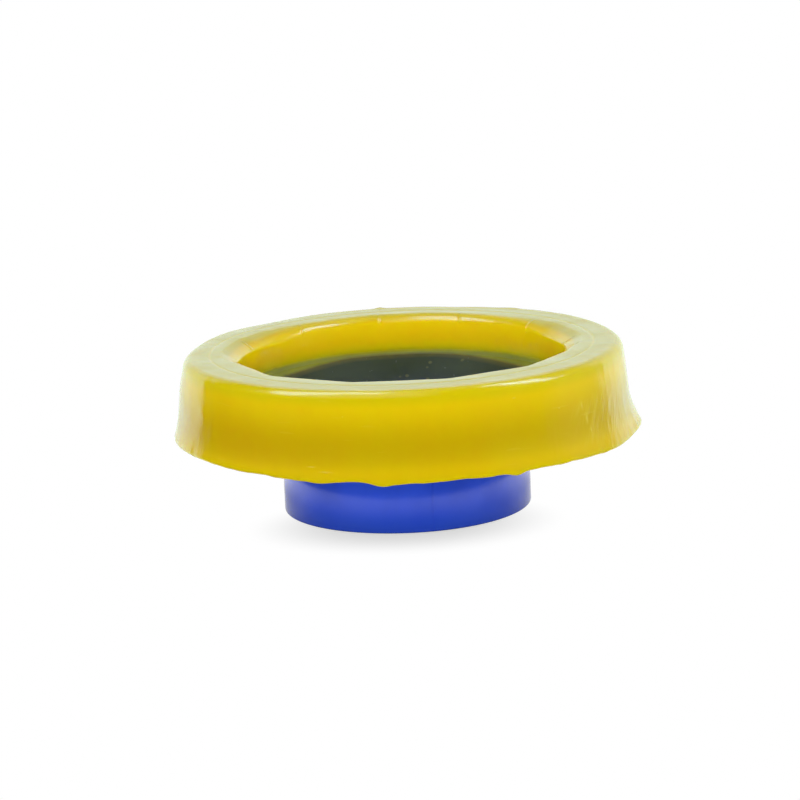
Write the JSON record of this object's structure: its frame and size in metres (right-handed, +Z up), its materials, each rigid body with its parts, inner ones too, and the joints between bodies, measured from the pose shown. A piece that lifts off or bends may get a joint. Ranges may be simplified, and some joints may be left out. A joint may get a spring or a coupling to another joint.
{
  "type": "toilet pan seal",
  "caption": "Tapered wax ring cast round the flange of a plastic horn, with a sleeve below that enters the soil pipe.",
  "frame": {"origin": "centre of the sleeve's foot, on the plane that the seal stands on", "axes": "+Z up along the seal's axis, from the soil pipe towards the pan"},
  "size_m": [0.132, 0.1312, 0.0456],
  "materials": {
    "blue_plastic": "satin",
    "yellow_wax": "soft gloss, slightly translucent"
  },
  "bodies": {
    "root": {"plastic_horn": "blue_plastic", "wax_ring": "yellow_wax"}
  },
  "joints": []
}
